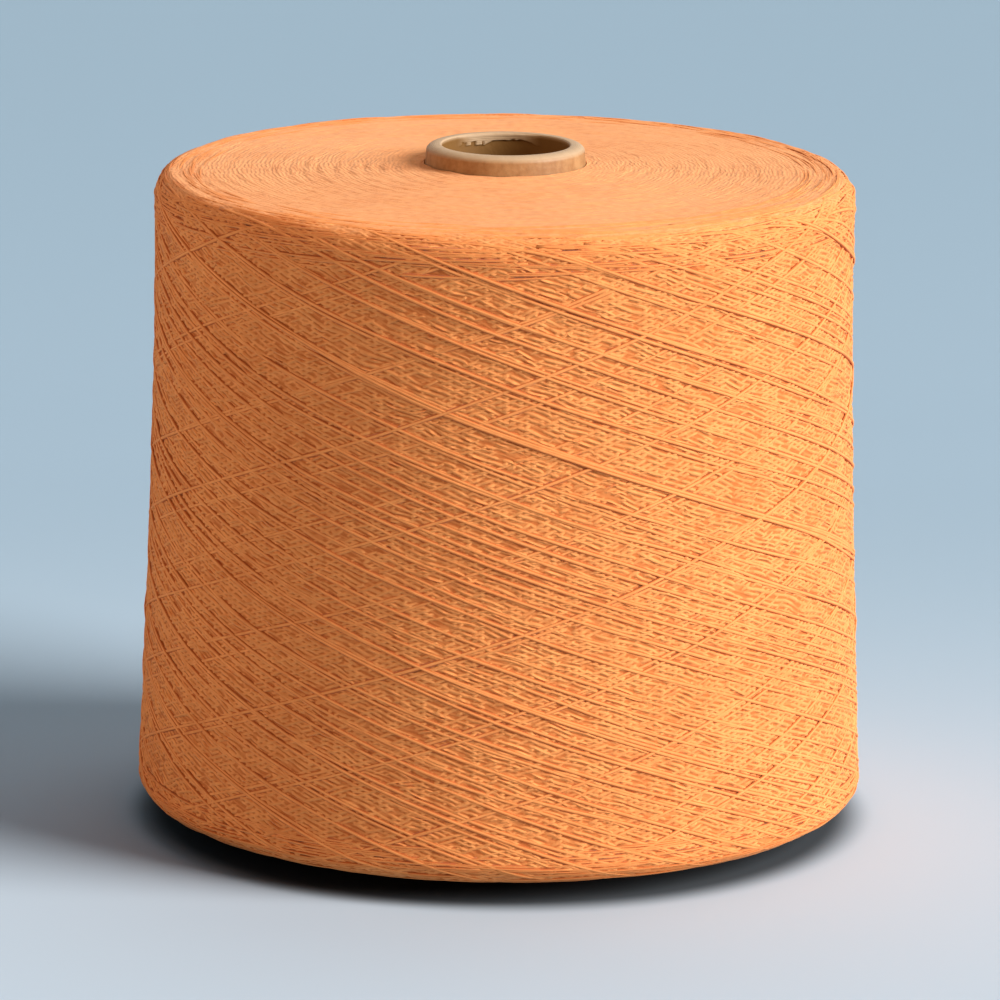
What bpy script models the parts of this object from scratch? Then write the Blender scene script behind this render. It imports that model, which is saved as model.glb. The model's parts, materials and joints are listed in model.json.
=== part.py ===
"""Cone of yarn: a cross-wound yarn package on a tapered, hollow paper cone.

Metres, +Z up. The cone stands on its wide end, with the origin on its axis at the surface it stands on.
"""

import math

import bmesh
import bpy
import numpy as np

# Paper cone
CONE_HEIGHT = 0.170
CONE_BASE_RADIUS = 0.0330
CONE_NOSE_RADIUS = 0.0201
CONE_WALL = 0.0039
NOSE_ROUNDING = 0.0021  # height of the rounded rim
BASE_EASING = 0.0006  # small bevel on both edges of the base ring

# Yarn package, measured to the outside of its turns
YARN_BOTTOM = 0.0050  # the paper cone lifts the yarn off the surface
YARN_SHOULDER = 0.1640  # top of the rounded upper edge
YARN_CROWN = 0.0018  # rise of the upper face from its edge to the paper cone
TOP_RADIUS = 0.0872
BOTTOM_RADIUS = 0.0912
SIDE_SAG = 0.0010  # how far the side draws in between its two ends
SAG_SKEW = 0.7  # under 1 puts the deepest sag above the middle
TOP_EDGE = (0.0052, 0.0063)  # radial and vertical size of the rounded edges
BOTTOM_EDGE = (0.0077, 0.0059)
CORE_GAP = 0.0003

# Main strands raised on the side, crossing in two directions
STRANDS = 18  # strands in each direction, all round
STRAND_CELLS = 13  # crossings from the upper edge to the lower one
FALLING_RELIEF = 0.0012  # strands that run down to the right
RISING_RELIEF = 0.0010  # strands that run up to the right, partly buried

# Resolution
STEPS = 72  # four to a strand
ROWS_PER_CELL = 4
EDGE_POINTS = 5
FACE_RINGS = 7
RIM_POINTS = 8

YARN_COLOUR = (0.80, 0.30, 0.105, 1.0)
PAPER_COLOUR = (0.47, 0.26, 0.12, 1.0)


def cone_radius(height):
    """Outer radius of the paper cone at a height."""
    return CONE_BASE_RADIUS + (CONE_NOSE_RADIUS - CONE_BASE_RADIUS) * height / CONE_HEIGHT


def ellipse_arc(centre, semi_axes, start_deg, end_deg, count):
    """Points of an ellipse arc in the profile's plane, both ends included."""
    points = []
    for i in range(count):
        angle = math.radians(start_deg + (end_deg - start_deg) * i / (count - 1))
        points.append((centre[0] + semi_axes[0] * math.cos(angle), centre[1] + semi_axes[1] * math.sin(angle)))
    return points


def side_radius(share):
    """Radius of the yarn's side, a share of the way from its upper edge to its lower one."""
    taper = TOP_RADIUS + (BOTTOM_RADIUS - TOP_RADIUS) * share
    return taper - SIDE_SAG * math.sin(math.pi * share**SAG_SKEW)


def side_span():
    """Heights at which the straight side starts, at the top, and ends, at the bottom."""
    return YARN_SHOULDER - TOP_EDGE[1], YARN_BOTTOM + BOTTOM_EDGE[1]


def yarn_profile():
    """Half section of the package: upper face, rounded edge, side, lower edge, underside and bore."""
    top_of_bore = YARN_SHOULDER + YARN_CROWN
    inner = cone_radius(top_of_bore) + CORE_GAP
    edge_start = TOP_RADIUS - TOP_EDGE[0]
    points = []
    for i in range(FACE_RINGS):
        share = i / FACE_RINGS
        points.append((inner + (edge_start - inner) * share, top_of_bore - YARN_CROWN * share**0.8))
    side_top, side_bottom = side_span()
    points += ellipse_arc((edge_start, side_top), TOP_EDGE, 90, 0, EDGE_POINTS)
    rows = STRAND_CELLS * ROWS_PER_CELL
    for i in range(1, rows):
        share = i / rows
        points.append((side_radius(share), side_top + (side_bottom - side_top) * share))
    lower_centre = (BOTTOM_RADIUS - BOTTOM_EDGE[0], side_bottom)
    points += ellipse_arc(lower_centre, BOTTOM_EDGE, 0, -90, EDGE_POINTS)
    points.append((cone_radius(YARN_BOTTOM) + CORE_GAP, YARN_BOTTOM))
    return points


def cone_profile():
    """Half section of the paper cone's wall, from the nose rim down its outside and up its inside."""
    rim_height = CONE_HEIGHT - NOSE_ROUNDING
    rim_outer = cone_radius(rim_height)
    rim_centre = (rim_outer - CONE_WALL / 2, rim_height)
    points = ellipse_arc(rim_centre, (CONE_WALL / 2, NOSE_ROUNDING), 180, 0, RIM_POINTS)
    points += [
        (cone_radius(BASE_EASING), BASE_EASING),
        (cone_radius(0) - BASE_EASING, 0),
        (cone_radius(0) - CONE_WALL + BASE_EASING, 0),
        (cone_radius(BASE_EASING) - CONE_WALL, BASE_EASING),
    ]
    return points


def turned(name, profile, material, collection):
    """An object turned round Z from a closed half section, given in order down its outer side."""
    mesh = bpy.data.meshes.new(name)
    count = len(profile)
    edges = [(i, (i + 1) % count) for i in range(count)]
    mesh.from_pydata([(x, 0, z) for x, z in profile], edges, [])
    mesh.materials.append(material)
    obj = bpy.data.objects.new(name, mesh)
    collection.objects.link(obj)
    screw = obj.modifiers.new("turning", "SCREW")
    screw.axis = "Z"
    screw.angle = 2 * math.pi
    screw.steps = STEPS
    screw.render_steps = STEPS
    screw.use_merge_vertices = True
    screw.merge_threshold = 0.00005
    screw.use_smooth_shade = True
    return obj


def raise_strands(yarn):
    """Raises the main strands in the side's points.

    Each strand is the crest of a cosine wave that climbs or falls with the angle round the axis.
    Where two strands cross, the higher one shows. They stand half out of the side's mean surface and fade
    into the rounded edges.
    """
    graph = bpy.context.evaluated_depsgraph_get()
    mesh = bpy.data.meshes.new_from_object(yarn.evaluated_get(graph))
    yarn.modifiers.clear()
    yarn.data = mesh
    points = np.empty(len(mesh.vertices) * 3, np.float32)
    mesh.vertices.foreach_get("co", points)
    points = points.reshape(-1, 3)
    side_top, side_bottom = side_span()
    turn = np.arctan2(points[:, 1], points[:, 0]) / (2 * math.pi) * STRANDS
    depth = (side_top - points[:, 2]) / (side_top - side_bottom) * STRAND_CELLS
    falling = FALLING_RELIEF * (1 + np.cos(2 * math.pi * (turn - depth))) / 2
    rising = RISING_RELIEF * (1 + np.cos(2 * math.pi * (turn + depth))) / 2
    fade = np.clip(np.minimum(depth, STRAND_CELLS - depth), 0, 1)
    relief = (np.maximum(falling, rising) - FALLING_RELIEF / 2) * fade
    radius = np.hypot(points[:, 0], points[:, 1])
    points[:, :2] *= (1 + relief / radius)[:, None]
    mesh.vertices.foreach_set("co", points.ravel())
    fold_along_crests(mesh)


def fold_along_crests(mesh):
    """Splits each four-sided face across the pair of corners that stands higher, so that crests stay whole."""
    cage = bmesh.new()
    cage.from_mesh(mesh)
    for face in [face for face in cage.faces if len(face.verts) == 4]:
        a, b, c, d = face.verts
        high_ac = a.co.xy.length + c.co.xy.length > b.co.xy.length + d.co.xy.length
        bmesh.utils.face_split(face, *((a, c) if high_ac else (b, d)))
    cage.to_mesh(mesh)
    cage.free()


def new_material(name, colour, roughness):
    material = bpy.data.materials.new(name)
    material.use_nodes = True
    shader = material.node_tree.nodes["Principled BSDF"]
    shader.inputs["Base Color"].default_value = colour
    shader.inputs["Roughness"].default_value = roughness
    shader.inputs["Metallic"].default_value = 0.0
    material.diffuse_color = colour
    return material


def main():
    for old in list(bpy.data.objects):
        bpy.data.objects.remove(old)
    collection = bpy.data.collections.new("cone_of_yarn")
    bpy.context.scene.collection.children.link(collection)
    turned("paper_cone", cone_profile(), new_material("kraft_paper", PAPER_COLOUR, 0.75), collection)
    yarn = turned("wound_yarn", yarn_profile(), new_material("orange_yarn", YARN_COLOUR, 0.85), collection)
    raise_strands(yarn)


main()
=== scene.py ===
"""Looks of a cone of yarn: every visible turn of the cross-wound yarn, the paper cone and a plain studio."""

import json
import math

import bpy
import numpy as np
from mathutils import Matrix, Vector

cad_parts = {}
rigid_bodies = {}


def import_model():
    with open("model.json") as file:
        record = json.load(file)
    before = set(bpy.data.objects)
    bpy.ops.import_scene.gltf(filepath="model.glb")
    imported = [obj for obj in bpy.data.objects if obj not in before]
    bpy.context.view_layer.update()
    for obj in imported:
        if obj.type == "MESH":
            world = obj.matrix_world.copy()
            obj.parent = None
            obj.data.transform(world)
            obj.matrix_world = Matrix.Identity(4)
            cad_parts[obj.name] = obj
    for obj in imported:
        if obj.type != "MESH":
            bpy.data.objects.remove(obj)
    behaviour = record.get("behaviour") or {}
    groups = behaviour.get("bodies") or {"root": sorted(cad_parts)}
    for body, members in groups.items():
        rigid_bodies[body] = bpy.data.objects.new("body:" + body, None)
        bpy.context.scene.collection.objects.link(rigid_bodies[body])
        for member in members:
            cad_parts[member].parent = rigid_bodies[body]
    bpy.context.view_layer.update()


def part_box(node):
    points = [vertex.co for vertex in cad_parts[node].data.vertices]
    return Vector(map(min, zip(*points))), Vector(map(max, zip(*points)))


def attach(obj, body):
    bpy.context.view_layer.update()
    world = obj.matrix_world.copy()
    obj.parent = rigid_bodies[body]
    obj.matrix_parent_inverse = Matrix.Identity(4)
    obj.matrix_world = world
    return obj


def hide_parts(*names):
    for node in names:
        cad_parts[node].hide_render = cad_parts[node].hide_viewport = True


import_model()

bl_info = {
    "name": "Cone of yarn",
    "version": (1, 0, 0),
    "blender": (4, 5, 0),
    "location": "3D View > Sidebar > Yarn cone",
    "description": "Winds the visible yarn of a cross-wound cone and dresses its paper cone",
    "category": "Object",
}

YARN_LOW, YARN_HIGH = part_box("wound_yarn")
CONE_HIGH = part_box("paper_cone")[1]
ROOT = "root"

# Package outline, in metres, as the solid has it, but with a slightly higher crown
BOTTOM_RADIUS = 0.0912
TOP_RADIUS = 0.0872
YARN_BOTTOM = YARN_LOW.z
SOLID_CROWN = 0.0018
SHOULDER = YARN_HIGH.z - SOLID_CROWN
FACE_CROWN = 0.0023
SIDE_SAG = 0.0010
SAG_SKEW = 0.7
TOP_EDGE = (0.0052, 0.0063)
BOTTOM_EDGE = (0.0077, 0.0059)
CORE_GAP = 0.0003

# Points of the outline on a flat end, on a rounded edge and on the side
FLAT_POINTS = 59
EDGE_POINTS = 24
SIDE_POINTS = 118

# Paper cone, whose nose stands a little over the solid's
CONE_BASE_RADIUS = CONE_HIGH.x
NOSE_RISE = 0.0009
CONE_HEIGHT = CONE_HIGH.z + NOSE_RISE
CONE_NOSE_RADIUS = 0.0196
CONE_WALL = 0.0037
BASE_EASING = 0.0006
RIM_OUTSIDE = (0.0026, 0.0017)
RIM_INSIDE = (0.0006, 0.0004)

# Closed sectors that make up the body under the strands
WEDGES = 6


def cone_radius(height):
    """Outer radius of the paper cone: a straight line from its base radius to its nose radius."""
    return CONE_BASE_RADIUS + (CONE_NOSE_RADIUS - CONE_BASE_RADIUS) * height / CONE_HEIGHT


# ---------------------------------------------------------------- the package's outline


class Outline:
    """The package's half section as a curve with its length as the parameter.

    It runs from the underside round the lower edge, up the side, round the upper edge and onto the upper
    face, and under_end, lower_edge, upper_edge and face_start say how far along these change. Each edge is a
    quarter ellipse; the side is a straight taper less a skewed sine sag.
    """

    def __init__(self):
        quarter = np.linspace(0, math.pi / 2, EDGE_POINTS)
        lower = BOTTOM_RADIUS - BOTTOM_EDGE[0]
        upper = TOP_RADIUS - TOP_EDGE[0]
        low, high = YARN_BOTTOM + BOTTOM_EDGE[1], SHOULDER - TOP_EDGE[1]
        up = np.linspace(0, 1, SIDE_POINTS + 2)[1:-1]
        down = 1 - up
        taper = TOP_RADIUS + (BOTTOM_RADIUS - TOP_RADIUS) * down
        side = taper - SIDE_SAG * np.sin(math.pi * down**SAG_SKEW)
        inner = cone_radius(SHOULDER + FACE_CROWN)
        face = np.linspace(0, 1, FLAT_POINTS + 1)[1:]
        radius = [
            np.linspace(cone_radius(YARN_BOTTOM), lower, FLAT_POINTS + 1)[:-1],
            lower + BOTTOM_EDGE[0] * np.sin(quarter),
            side,
            upper + TOP_EDGE[0] * np.cos(quarter),
            upper + (inner - upper) * face,
        ]
        height = [
            np.full(FLAT_POINTS, YARN_BOTTOM),
            low - BOTTOM_EDGE[1] * np.cos(quarter),
            low + (high - low) * up,
            high + TOP_EDGE[1] * np.sin(quarter),
            SHOULDER + FACE_CROWN * (1 - (1 - face) ** 0.8),
        ]
        self.radius, self.height = np.concatenate(radius), np.concatenate(height)
        steps = np.hypot(np.diff(self.radius), np.diff(self.height))
        self.length = np.concatenate([[0], np.cumsum(steps)])
        along_r = np.gradient(self.radius, self.length)
        along_z = np.gradient(self.height, self.length)
        size = np.hypot(along_r, along_z)
        self.out_r, self.out_z = along_z / size, -along_r / size
        ends = np.cumsum([FLAT_POINTS, EDGE_POINTS - 1, SIDE_POINTS + 1, EDGE_POINTS - 1])
        self.under_end, self.lower_edge, self.upper_edge, self.face_start = map(float, self.length[ends])

    def at(self, length):
        """(radius, height, outward r, outward z) at a distance along the outline."""
        names = (self.radius, self.height, self.out_r, self.out_z)
        return tuple(np.interp(length, self.length, values) for values in names)


OUTLINE = Outline()


# ---------------------------------------------------------------- meshes from arrays


def mesh_piece(name, points, faces, maps, material):
    """A smooth mesh object from arrays: points (n, 3), lists of faces by corner count and maps of corners."""
    corners = np.concatenate([part.ravel() for part in faces])
    sizes = np.concatenate([np.full(len(part), part.shape[1]) for part in faces])
    used, numbers = np.unique(corners, return_inverse=True)
    mesh = bpy.data.meshes.new(name)
    mesh.vertices.add(len(used))
    mesh.vertices.foreach_set("co", points[used].astype(np.float32).ravel())
    mesh.loops.add(len(corners))
    mesh.loops.foreach_set("vertex_index", numbers.astype(np.int32).ravel())
    mesh.polygons.add(len(sizes))
    mesh.polygons.foreach_set("loop_start", (np.cumsum(sizes) - sizes).astype(np.int32))
    mesh.update(calc_edges=True)
    mesh.shade_smooth()
    for map_name, places in maps.items():
        layer = mesh.uv_layers.new(name=map_name)
        layer.uv.foreach_set("vector", places.astype(np.float32).ravel())
    mesh.materials.append(material)
    piece = bpy.data.objects.new(name, mesh)
    bpy.context.scene.collection.objects.link(piece)
    return piece


# Section of a last strand, as (across, outwards) shares of its half width: a round back and, beside it, a low
# skirt with painted shade that stands for the crevice between it and its neighbours. Its top share is where
# the back would be if it were not faceted.
STRAND_SECTION = np.array([(1.4, -0.6), (0.9, 0.0), (0.42, 0.4), (-0.42, 0.4), (-0.9, 0.0), (-1.4, -0.6)])
STRAND_TOP = 0.46

# Section of a pressed turn: a soft ridge on a flat foot
TURN_SECTION = np.array([(1.0, -0.5), (0.0, 0.5), (-1.0, -0.5)])
TURN_TOP = 0.45


def carried(section, centres, outward, radii, kept, places):
    """Tubes carried along paths where kept, closed wherever a kept run starts or ends, with their maps.

    centres and outward are (strands, samples, 3), radii (strands, samples), kept (strands, samples - 1) and
    places (strands, samples, 2), which is turns round the axis and metres along the package's outline.
    At each sample the section's two axes are the outward direction squared to the path and the direction
    across it, which is outward x tangent; a point is the centre plus the radius times the section's two
    shares of those axes. Map yarn_run holds metres along and shares round, yarn_place the places, and OFBake
    gives each kept stretch a cell of a sheet.
    """
    samples, sides = centres.shape[1], len(section)
    tangent = np.gradient(centres, axis=1)
    across = np.cross(outward, tangent)
    across /= np.linalg.norm(across, axis=2, keepdims=True)
    up = np.cross(tangent, across)
    up /= np.linalg.norm(up, axis=2, keepdims=True)
    share_across, share_up = section.T
    offset = across[:, :, None] * share_across[:, None] + up[:, :, None] * share_up[:, None]
    points = centres[:, :, None] + offset * radii[:, :, None, None]

    ring = np.arange(sides)
    corner = np.stack([ring, (ring + 1) % sides], 1)
    strand, sample = np.nonzero(kept)
    base = (strand * samples + sample) * sides
    near = base[:, None, None] + corner
    far = near + sides
    walls = np.stack([near[..., 0], near[..., 1], far[..., 1], far[..., 0]], -1)
    fenced = np.pad(kept, ((0, 0), (1, 1)))
    opens = (kept & ~fenced[:, :-2])[strand, sample]
    closes = (kept & ~fenced[:, 2:])[strand, sample]
    lids = np.concatenate([base[opens][:, None] + ring[::-1], base[closes][:, None] + sides + ring])
    faces = [walls.reshape(-1, 4), lids]

    steps = np.linalg.norm(np.diff(centres, axis=1), axis=2)
    metres = np.pad(np.cumsum(steps, axis=1), ((0, 0), (1, 0)))
    along = np.array([0, 0, 1, 1])
    round_ = (ring[:, None] + np.array([0, 1, 1, 0])) / sides
    start, end = metres[strand, sample], metres[strand, sample + 1]
    run = np.stack(
        np.broadcast_arrays(start[:, None, None] * (1 - along) + end[:, None, None] * along, round_[None]), -1
    )
    cell = np.arange(len(strand))
    caps = int(opens.sum() + closes.sum())
    columns = int(math.sqrt(1.5 * (len(cell) + caps))) + 1
    rows = -(-(len(cell) + caps) // columns)
    stretches = np.stack(
        np.broadcast_arrays(
            (cell % columns)[:, None, None] + along,
            (cell // columns)[:, None, None] + 0.04 + 0.92 * round_[None],
        ),
        -1,
    )
    cell = len(cell) + np.arange(caps)
    lid_shape = 0.5 + section / 3.6
    ends = np.stack([cell % columns, cell // columns], -1)[:, None] + lid_shape
    sheet = np.concatenate([stretches.reshape(-1, 2), ends.reshape(-1, 2)]) / [columns, rows]
    run = np.concatenate([run.reshape(-1, 2), np.zeros((caps * sides, 2))])
    first, last = places[strand, sample][:, None, None], places[strand, sample + 1][:, None, None]
    side = first * (1 - along[:, None]) + last * along[:, None]
    side = np.broadcast_to(side, (len(strand), sides, 4, 2)).reshape(-1, 2)
    lid_places = np.concatenate([places[strand, sample][opens], places[strand, sample + 1][closes]])
    side = np.concatenate([side, np.repeat(lid_places, sides, 0)])
    return points.reshape(-1, 3), faces, {"yarn_run": run, "yarn_place": side, "OFBake": sheet}


def places_of(distance, angle):
    """Places for the map yarn_place: turns round the axis, from each strand's whole turn, and metres."""
    turn = angle / (2 * math.pi)
    return np.stack([turn - np.floor(turn[:, :1]), distance], -1)


def diamond_faces(rows, columns):
    """Faces of a grid that uses every other point: diamonds round the others, and triangles at its borders.

    Point (row, column) has number row * columns + column and is used where row + column is even.
    """
    row, column = np.meshgrid(np.arange(rows), np.arange(columns), indexing="ij")
    number = row * columns + column
    low, high, left, right = number - columns, number + columns, number - 1, number + 1
    unused = (row + column) % 2 == 1
    bottom, top, first, last = row == 0, row == rows - 1, column == 0, column == columns - 1
    diamonds = np.stack([low, right, high, left], -1)[unused & ~(bottom | top | first | last)]
    triangles = [
        np.stack([low, right, high], -1)[unused & first],
        np.stack([low, high, left], -1)[unused & last],
        np.stack([right, high, left], -1)[unused & bottom],
        np.stack([low, right, left], -1)[unused & top],
    ]
    return diamonds, np.concatenate(triangles)


def wedge(length, stray, lift, levels, angle):
    """A closed sector of the wound body over the given angles, with its maps.

    Its skin is the outline with a lift off it: point (i, j) lies at outline length i plus a stray and at
    angle j, and every other point is used. Straight faces along the bore and two flat half sections close it.
    Map yarn_place holds turns round the axis and metres along the outline, and yarn_levels the levels given.
    On the sheet OFBake the skin lies at 0 to 0.94, the bore's strip at 0.95 to 0.96, half sections beyond.
    """
    radius, height, out_r, out_z = OUTLINE.at(length[:, None] + stray)
    radius, height = radius + lift * out_r, height + lift * out_z
    radius[[0, -1]] += CORE_GAP
    points = np.stack([radius * np.cos(angle), radius * np.sin(angle), height], -1).reshape(-1, 3)
    rows, columns = radius.shape
    diamonds, triangles = diamond_faces(rows, columns)
    even = np.arange(0, columns - 1, 2)
    top = (rows - 1) * columns
    bore = np.stack([top + even, top + even + 2, even + 2, even], -1)
    section = np.arange(0, rows, 2) * columns
    caps = np.stack([section, section[::-1] + columns - 1])
    turn = (angle - angle[0]) / (angle[-1] - angle[0])
    marks = [0, OUTLINE.under_end, OUTLINE.face_start, OUTLINE.length[-1]]
    share = np.interp(length, marks, [0, 0.08, 0.74, 1])
    skin = np.stack(np.broadcast_arrays(0.94 * turn, share[:, None]), -1).reshape(-1, 2)
    strip = np.stack([np.tile([0.95, 0.95, 0.96, 0.96], (len(bore), 1)), turn[bore % columns] * 0.9], -1)
    flat = np.stack([radius[::2, 0] / (BOTTOM_RADIUS * 70), height[::2, 0] / (2 * SHOULDER)], -1)
    around = [skin[diamonds], skin[triangles], strip, flat + [0.962, 0], flat[::-1] + [0.981, 0]]
    sheet = np.concatenate([part.reshape(-1, 2) for part in around])
    place = np.stack(np.broadcast_arrays(angle / (2 * math.pi), length[:, None]), -1).reshape(-1, 2)
    faces = [diamonds, triangles, bore, caps]
    corners = np.concatenate([part.ravel() for part in faces])
    maps = {"yarn_place": place[corners], "yarn_levels": levels.reshape(-1, 2)[corners], "OFBake": sheet}
    return points, faces, maps


# ---------------------------------------------------------------- winding


def soft_stroke(share, ease):
    """One stroke of the guide, 0 to 1: a straight run whose speed fades to nothing over ease at each end."""
    speed = np.clip(np.minimum(share, 1 - share) / ease, 0, 1)
    middle = (speed[1:] + speed[:-1]) / 2 * np.diff(share)
    way = np.concatenate([[0], np.cumsum(middle)])
    return way / way[-1]


def smooth_noise(rng, count, samples, knots):
    """Smooth random lines of about unit size: random values at knots, joined by cosine steps."""
    values = rng.normal(size=(count, knots + 2))
    place = np.linspace(0, knots, samples)
    left = np.floor(place).astype(int)
    part = (1 - np.cos((place - left) * math.pi)) / 2
    return values[:, left] * (1 - part) + values[:, left + 1] * part


def stroke_paths(settings, start, end, first_turn, shares):
    """(distance along the outline, angle) at shares of strokes between two turning points.

    The angle grows evenly, by the turns of a stroke, and the distance follows the guide's soft stroke.
    """
    share = np.linspace(0, 1, 400)
    stroke = np.interp(shares, share, soft_stroke(share, settings.turn_ease))
    distance = start[:, None] + (end - start)[:, None] * stroke
    return distance, 2 * math.pi * (first_turn[:, None] + shares * stroke_turns(settings))


def stroke_turns(settings):
    """Turns of a stroke: its middle slopes by the wind angle, and two strokes lead by the winding ratio."""
    mean_radius = (TOP_RADIUS + BOTTOM_RADIUS) / 2
    reach = (OUTLINE.face_start - OUTLINE.under_end) / math.tan(settings.wind_angle)
    turns = (reach / (1 - settings.turn_ease)) / (2 * math.pi * mean_radius)
    return (math.floor(2 * turns) + settings.ratio_part) / 2


# How far past an edge a stroke turns round at most, and over what stretch its turning points vary
TURN_PAST = 0.004
TURN_SPREAD = 0.010


def turning_points(rng, count):
    """Distances of the lower and upper turning points of strokes, which vary a little."""
    low = OUTLINE.under_end - TURN_PAST + rng.uniform(0, 1, count) ** 0.8 * TURN_SPREAD
    top = OUTLINE.face_start + TURN_PAST - rng.uniform(0, 1, count) ** 0.8 * TURN_SPREAD
    return low, top


def wind_side(settings):
    """Paths of the last strokes, in the order they are wound: stroke k starts where stroke k - 1 ends."""
    rng = np.random.default_rng(settings.seed)
    count, samples = settings.strokes, settings.samples
    low, top = turning_points(rng, count // 2 + 1)
    k = np.arange(count)
    rising = k % 2 == 0
    start = np.where(rising, low[k // 2], top[k // 2])
    end = np.where(rising, top[k // 2], low[(k + 1) // 2])
    drift = np.cumsum(rng.normal(0, settings.drift, count // 2 + 1))
    share = np.linspace(0, 1, samples)
    first_turn = k * stroke_turns(settings) + drift[k // 2]
    distance, angle = stroke_paths(settings, start, end, first_turn, share[None])
    wander = smooth_noise(rng, count, samples, 14) * settings.wander
    return distance + wander * np.clip(np.minimum(share, 1 - share) * 8, 0, 1), angle


# Cell of the pile, how much wider it is round the axis, and the cells that a strand covers from its middle
CELL = 0.0002
CELL_WIDER = 1.8
STRAND_CELLS = np.arange(-2, 3)

# Places along a stroke as a share of the cells round the axis, and how far under the pile's top one is seen
STROKE_PLACES = 0.95
SEEN_UNDER = 0.00002

# Length and slope of a stroke on the side
STROKE_LENGTH = 0.497
STROKE_SLOPE = math.radians(20)

# How far a strand is drawn straight between its supports, and how high a soft one stands off them
TAUT = 0.35
SOFT_LIFT = 0.30


def even_out(line, reach):
    """The line averaged over reach places to each side, with the weights of a raised cosine."""
    weights = np.hanning(2 * reach + 3)[1:-1]
    return np.convolve(np.pad(line, reach, mode="edge"), weights / weights.sum(), mode="valid")


def pile_up(distance, angle, width, depths):
    """Height of each strand's back over the wound body, laid one over another, and the share of it seen.

    The pile is a grid of heights over angle and distance. A strand's contact height is the highest the grid
    lifts its rounded section at each place. The taut strand spans the dips between its supports as a chord
    does, which over a curved surface sinks by step^2 / (2 bend radius); raising every place to the chords
    over a few step lengths gives it. Soft yarn sinks in, so its line is a mix of that and the mean height
    around it. Last it raises the grid by its section.
    """
    count, samples = distance.shape
    steps_round = int(2 * math.pi * TOP_RADIUS / (CELL_WIDER * CELL))
    per_step = int(steps_round * STROKE_PLACES) // (samples - 1)
    fine = per_step * (samples - 1)
    rows = int(OUTLINE.length[-1] / CELL) + 8
    grid = np.zeros((steps_round, rows), np.float32)
    coarse = np.linspace(0, 1, samples)
    dense = (np.arange(fine) + 0.5) / fine
    rounded = np.sqrt(np.clip(1 - (STRAND_CELLS * CELL / (width / 2)) ** 2, 0.02, 1)) / 2
    bend = (TOP_RADIUS + BOTTOM_RADIUS) / 2 / math.cos(STROKE_SLOPE) ** 2
    spacing = STROKE_LENGTH / fine
    kept = []
    for k in range(count):
        section = depths[k] * rounded
        s = np.interp(dense, coarse, distance[k])
        turn = np.interp(dense, coarse, angle[k]) / (2 * math.pi)
        i = (turn * steps_round).astype(int) % steps_round
        j = np.rint(s / CELL).astype(int)[:, None] + STRAND_CELLS
        under = grid[i[:, None], j]
        line = (under + section).max(1)
        for step in (8, 4, 2, 1):
            fenced = np.pad(line, step, mode="edge")
            chord = (fenced[: -2 * step] + fenced[2 * step :]) / 2 - (step * spacing) ** 2 / (2 * bend)
            line = np.maximum(line, chord)
        line = TAUT * line + (1 - TAUT) * (even_out(under.mean(1), 6) + SOFT_LIFT * depths[k])
        line = even_out(line, 4)
        grid[i[:, None], j] = np.maximum(under, line[:, None] + section)
        kept.append((i, j, line, section))
    heights, seen = np.empty((count, samples)), np.empty((count, samples - 1))
    for k, (i, j, line, section) in enumerate(kept):
        heights[k] = np.interp(coarse, dense, line + section[2])
        clear = (grid[i[:, None], j] <= line[:, None] + section + SEEN_UNDER).any(1)
        seen[k] = clear.reshape(samples - 1, per_step).mean(1)
    return heights, seen


def on_outline(distance, angle, lift):
    """Points and outward directions at a distance along the outline, an angle and a lift off the surface."""
    radius, height, out_r, out_z = OUTLINE.at(distance)
    radius, height = radius + lift * out_r, height + lift * out_z
    centres = np.stack([radius * np.cos(angle), radius * np.sin(angle), height], -1)
    outward = np.stack([out_r * np.cos(angle), out_r * np.sin(angle), out_z + 0 * angle], -1)
    return centres, outward


# ---------------------------------------------------------------- materials

# Heights of the fuzz on all yarn and of the paper's fibres
FUZZ_HEIGHT = 0.00005
FIBRE_HEIGHT = 0.00015

# Scales of the noises of the finishes: the yarn's drifts of shade, specks and fuzz, the bend of packed turns
# and which of them lie on top, what fills the body's holes, and the paper's fibres and mottle
DRIFT_SCALE, SPECK_SCALE, FUZZ_SCALE = 45.0, 450.0, 1000.0
BEND_SCALE, TOP_SCALE, FILLED_SCALE = 150.0, 420.0, 260.0
FIBRE_SCALE, MOTTLE_SCALE = 700.0, 160.0

# Packed turns round the axis on a face, how much painted shade darkens their gaps, and from where to where it
# turns flat
FACE_STRANDS = 30.0
FACE_GAP_SHADOW = 0.15
FLAT_FROM, FLAT_TO = 0.002, 0.010

# Body: roundness of its backs, how high noise fills its holes, how dark the painted shade in these is, and
# the heights between which the painted shade comes in
BACK_POWER = 0.7
FILLED_HEIGHT = 0.3
HOLE_PAINTED_SHADOW = 0.62
HOLE_HEIGHTS = (0.50, 0.20)

# Paper: how far down from the rim's crest it turns to the painted shade of the bore, and how far the pale
# rim, partly painted highlight, reaches into the bore and down the outside, each as the two ends of its
# fading
BORE_FADE = (-0.0007, -0.0016)
RIM_IN_FADE = (-0.0016, -0.0008)
RIM_OUT_FADE = (0.0040, 0.0028)


def new_group(name, inputs, outputs):
    """A shader node group with named sockets: inputs as (name, kind, default), outputs as (name, kind)."""
    group = bpy.data.node_groups.new(name, "ShaderNodeTree")
    for socket, kind, default in inputs:
        made = group.interface.new_socket(socket, in_out="INPUT", socket_type=kind)
        made.default_value = default
    for socket, kind in outputs:
        group.interface.new_socket(socket, in_out="OUTPUT", socket_type=kind)
    nodes = group.nodes
    return group, nodes.new("NodeGroupInput"), nodes.new("NodeGroupOutput")


def node(tree, kind, links=(), **values):
    """A node with its values set: a plain name is a property, and links are (input, output socket) pairs."""
    made = tree.nodes.new(kind)
    for name, value in values.items():
        setattr(made, name, value)
    for place, source in links:
        if hasattr(source, "is_output"):
            tree.links.new(source, made.inputs[place])
        else:
            made.inputs[place].default_value = source
    return made


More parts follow.
